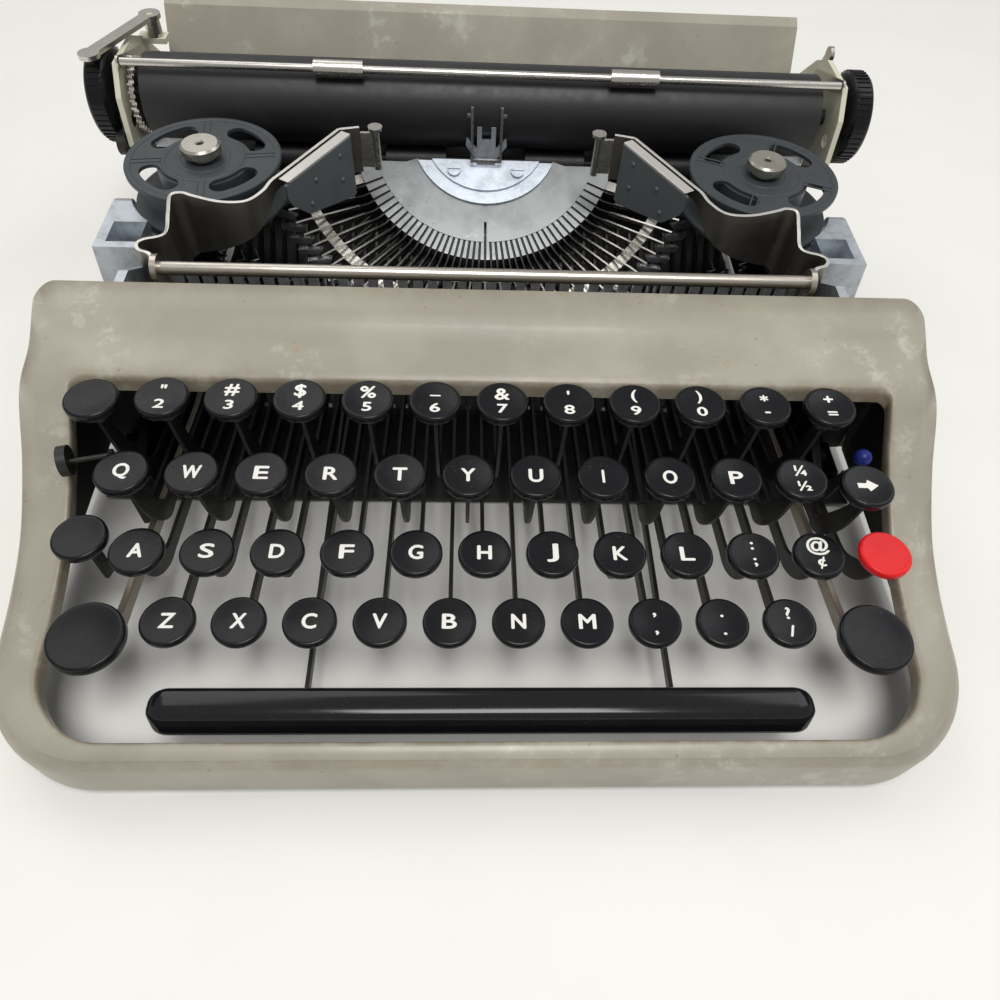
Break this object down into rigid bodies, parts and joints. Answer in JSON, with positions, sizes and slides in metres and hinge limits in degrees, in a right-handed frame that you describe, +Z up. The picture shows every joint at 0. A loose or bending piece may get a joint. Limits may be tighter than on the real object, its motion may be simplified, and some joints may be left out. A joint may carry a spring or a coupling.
{
  "type": "portable typewriter",
  "caption": "Low portable typewriter with its ribbon cover off: sheet metal case, round keys on levers, fan of type bars, two ribbon spools and a sliding carriage with a platen.",
  "frame": {"origin": "on the table, under the middle of the machine's footprint", "axes": "+X to the typist's right, +Y to the back, away from the typist, +Z up"},
  "size_m": [0.298, 0.324, 0.087],
  "materials": {
    "shell_paint": "semi-gloss sprayed enamel, worn",
    "key_black": "polished moulded plastic",
    "key_red": "polished moulded plastic",
    "lever_steel": "blackened",
    "bright_steel": "bright plated",
    "cast_aluminium": "as cast, satin",
    "segment_steel": "ground, satin",
    "guard_steel": "dark plated, satin",
    "spool_grey": "dark grey satin",
    "nickel": "nickel plated",
    "brass": "plain",
    "rubber_black": "matte",
    "cream_paint": "semi-gloss enamel",
    "blue_plastic": "moulded"
  },
  "bodies": {
    "machine": {"body_shell": "shell_paint", "rear_housing": "shell_paint", "rubber_feet": "rubber_black", "side_frame_left": "cast_aluminium", "side_frame_right": "cast_aluminium", "rear_cross_rail": "lever_steel", "key_guide_comb": "cast_aluminium", "key_fulcrum_shaft": "bright_steel", "cover_rod": "bright_steel", "basket_guard_left": "guard_steel", "basket_guard_right": "guard_steel", "spool_cup_left": "spool_grey", "spool_cup_right": "spool_grey", "spool_nuts": "nickel", "ribbon_guides": "bright_steel", "carriage_rail": "bright_steel", "bell": "bright_steel", "fasteners": "bright_steel"},
    "number_row_keys": {"number_row_keys": "key_black"},
    "top_row_keys": {"top_row_keys": "key_black"},
    "home_row_keys": {"home_row_keys": "key_black"},
    "bottom_row_keys": {"bottom_row_keys": "key_black"},
    "key_h": {"key_h": "key_black"},
    "space_bar": {"space_bar": "key_black"},
    "shift_keys": {"shift_key_left": "key_black", "shift_key_right": "key_black"},
    "shift_lock_key": {"shift_lock_key": "key_black"},
    "margin_release_key": {"margin_release_key": "key_black"},
    "backspace_key": {"backspace_key": "key_black"},
    "tab_key": {"tab_key": "key_red"},
    "tab_set_lever": {"tab_set_lever": "key_black"},
    "ribbon_selector": {"ribbon_selector": "blue_plastic"},
    "type_basket": {"segment": "segment_steel", "segment_ring": "cast_aluminium", "typebars": "bright_steel", "typebar_rest": "bright_steel", "type_guide": "cast_aluminium"},
    "typebar_h": {"typebar_h": "bright_steel"},
    "ribbon_vibrator": {"ribbon_vibrator": "bright_steel"},
    "carriage": {"carriage_frame": "cast_aluminium", "carriage_end_left": "cream_paint", "carriage_end_right": "cream_paint", "paper_table": "shell_paint", "margin_rack": "bright_steel"},
    "platen": {"platen": "rubber_black", "platen_knob_left": "key_black", "platen_knob_right": "key_black", "platen_ratchet": "bright_steel"},
    "front_feed_rollers": {"front_feed_rollers": "rubber_black"},
    "rear_feed_rollers": {"rear_feed_rollers": "rubber_black"},
    "paper_bail": {"paper_bail": "bright_steel"},
    "return_lever": {"return_lever": "bright_steel"},
    "paper_release_lever": {"paper_release_lever": "bright_steel"},
    "line_space_lever": {"line_space_lever": "lever_steel"},
    "margin_stop_left": {"margin_stop_left": "bright_steel"},
    "margin_stop_right": {"margin_stop_right": "bright_steel"},
    "ribbon_spool_left": {"ribbon_spool_left": "spool_grey"},
    "ribbon_spool_right": {"ribbon_spool_right": "spool_grey"},
    "escapement_wheel": {"escapement_wheel": "brass"},
    "mainspring_drum": {"mainspring_drum": "cast_aluminium"}
  },
  "joints": [
    {"name": "number_row_press", "type": "hinge", "parent": "machine", "child": "number_row_keys", "pos_m": [0, 0.02, 0.012], "axis": [1, 0, 0], "range_deg": [0, 6.2], "stiffness_Nm_per_rad": 0.5, "springref_deg": -14.32},
    {"name": "top_row_press", "type": "hinge", "parent": "machine", "child": "top_row_keys", "pos_m": [0, 0.02, 0.012], "axis": [1, 0, 0], "range_deg": [0, 5], "stiffness_Nm_per_rad": 0.5, "springref_deg": -14.32},
    {"name": "home_row_press", "type": "hinge", "parent": "machine", "child": "home_row_keys", "pos_m": [0, 0.02, 0.012], "axis": [1, 0, 0], "range_deg": [0, 4.6], "stiffness_Nm_per_rad": 0.5, "springref_deg": -14.32},
    {"name": "bottom_row_press", "type": "hinge", "parent": "machine", "child": "bottom_row_keys", "pos_m": [0, 0.02, 0.012], "axis": [1, 0, 0], "range_deg": [0, 4.4], "stiffness_Nm_per_rad": 0.5, "springref_deg": -14.32},
    {"name": "key_h_press", "type": "hinge", "parent": "machine", "child": "key_h", "pos_m": [0, 0.02, 0.012], "axis": [1, 0, 0], "range_deg": [0, 4.6], "stiffness_Nm_per_rad": 0.25, "springref_deg": -11.46},
    {"name": "space_bar_press", "type": "hinge", "parent": "machine", "child": "space_bar", "pos_m": [0, 0.02, 0.012], "axis": [1, 0, 0], "range_deg": [0, 2.6], "stiffness_Nm_per_rad": 0.5, "springref_deg": -14.32},
    {"name": "shift_press", "type": "hinge", "parent": "machine", "child": "shift_keys", "pos_m": [0, 0.02, 0.012], "axis": [1, 0, 0], "range_deg": [0, 3], "stiffness_Nm_per_rad": 3, "springref_deg": -14.32},
    {"name": "shift_lock_press", "type": "hinge", "parent": "shift_keys", "child": "shift_lock_key", "pos_m": [-0.108, -0.096, 0.0206], "axis": [1, 0, 0], "range_deg": [0, 8], "stiffness_Nm_per_rad": 0.25, "springref_deg": -11.46},
    {"name": "margin_release_press", "type": "hinge", "parent": "machine", "child": "margin_release_key", "pos_m": [-0.11096, 0.02, 0.012], "axis": [1, 0, 0], "range_deg": [0, 4], "stiffness_Nm_per_rad": 0.25, "springref_deg": -11.46},
    {"name": "backspace_press", "type": "hinge", "parent": "machine", "child": "backspace_key", "pos_m": [0.108, 0.02, 0.012], "axis": [1, 0, 0], "range_deg": [0, 4], "stiffness_Nm_per_rad": 0.25, "springref_deg": -11.46},
    {"name": "tab_press", "type": "hinge", "parent": "machine", "child": "tab_key", "pos_m": [0.1117, 0.02, 0.012], "axis": [1, 0, 0], "range_deg": [0, 4.4], "stiffness_Nm_per_rad": 0.25, "springref_deg": -11.46},
    {"name": "tab_set_swing", "type": "hinge", "parent": "machine", "child": "tab_set_lever", "pos_m": [-0.1074, 0.02, 0.012], "axis": [1, 0, 0], "range_deg": [-2.5, 0.3]},
    {"name": "ribbon_selector_swing", "type": "hinge", "parent": "machine", "child": "ribbon_selector", "pos_m": [0.10985, 0.02, 0.012], "axis": [1, 0, 0], "range_deg": [-1, 2.5]},
    {"name": "basket_shift", "type": "slide", "parent": "machine", "child": "type_basket", "axis": [0, -0.454, -0.891], "range_m": [0, 0.0064]},
    {"name": "typebar_h_strike", "type": "hinge", "parent": "type_basket", "child": "typebar_h", "pos_m": [0, 0.04229, 0.03674], "axis": [-1, 0, 0], "range_deg": [0, 134.78]},
    {"name": "ribbon_lift", "type": "slide", "parent": "type_basket", "child": "ribbon_vibrator", "axis": [0, 0, 1], "range_m": [0, 0.009]},
    {"name": "carriage_travel", "type": "slide", "parent": "machine", "child": "carriage", "axis": [1, 0, 0], "range_m": [-0.112, 0.112]},
    {"name": "platen_turn", "type": "hinge", "parent": "carriage", "child": "platen", "pos_m": [0, 0.08273, 0.06761], "axis": [1, 0, 0], "continuous": true},
    {"name": "front_feed_turn", "type": "hinge", "parent": "carriage", "child": "front_feed_rollers", "pos_m": [0, 0.07579, 0.04854], "axis": [1, 0, 0], "continuous": true},
    {"name": "rear_feed_turn", "type": "hinge", "parent": "carriage", "child": "rear_feed_rollers", "pos_m": [0, 0.10234, 0.06236], "axis": [1, 0, 0], "continuous": true},
    {"name": "paper_bail_swing", "type": "hinge", "parent": "carriage", "child": "paper_bail", "pos_m": [0, 0.09973, 0.07561], "axis": [-1, 0, 0], "range_deg": [0, 20]},
    {"name": "return_lever_swing", "type": "hinge", "parent": "carriage", "child": "return_lever", "pos_m": [-0.131, 0.10773, 0.08511], "axis": [0, 0, -1], "range_deg": [0, 40]},
    {"name": "paper_release_swing", "type": "hinge", "parent": "carriage", "child": "paper_release_lever", "pos_m": [0.1379, 0.11173, 0.06561], "axis": [1, 0, 0], "range_deg": [0, 18]},
    {"name": "line_space_swing", "type": "hinge", "parent": "carriage", "child": "line_space_lever", "pos_m": [-0.1379, 0.07273, 0.06311], "axis": [1, 0, 0], "range_deg": [-12, 12]},
    {"name": "left_margin_slide", "type": "slide", "parent": "carriage", "child": "margin_stop_left", "axis": [1, 0, 0], "range_m": [-0.02, 0.075]},
    {"name": "right_margin_slide", "type": "slide", "parent": "carriage", "child": "margin_stop_right", "axis": [1, 0, 0], "range_m": [-0.075, 0.02]},
    {"name": "left_spool_turn", "type": "hinge", "parent": "machine", "child": "ribbon_spool_left", "pos_m": [-0.099, 0.033, 0.06], "axis": [0, 0, 1], "continuous": true},
    {"name": "right_spool_turn", "type": "hinge", "parent": "machine", "child": "ribbon_spool_right", "pos_m": [0.099, 0.033, 0.06], "axis": [0, 0, 1], "continuous": true},
    {"name": "escapement_turn", "type": "hinge", "parent": "machine", "child": "escapement_wheel", "pos_m": [0, 0.10343, 0.03548], "axis": [0, 1, 0], "continuous": true},
    {"name": "mainspring_turn", "type": "hinge", "parent": "machine", "child": "mainspring_drum", "pos_m": [-0.07, 0.12073, 0.027], "axis": [0, 1, 0], "continuous": true}
  ],
  "couplings": [
    {"joint": "basket_shift", "follows": "shift_press", "m_per_rad": 0.12032},
    {"joint": "typebar_h_strike", "follows": "key_h_press", "ratio": 29.271},
    {"joint": "ribbon_lift", "follows": "key_h_press", "m_per_rad": 0.10961},
    {"joint": "escapement_turn", "follows": "carriage_travel", "rad_per_m": 123.68},
    {"joint": "mainspring_turn", "follows": "carriage_travel", "rad_per_m": 71.429},
    {"joint": "front_feed_turn", "follows": "platen_turn", "ratio": -3},
    {"joint": "rear_feed_turn", "follows": "platen_turn", "ratio": -3}
  ]
}
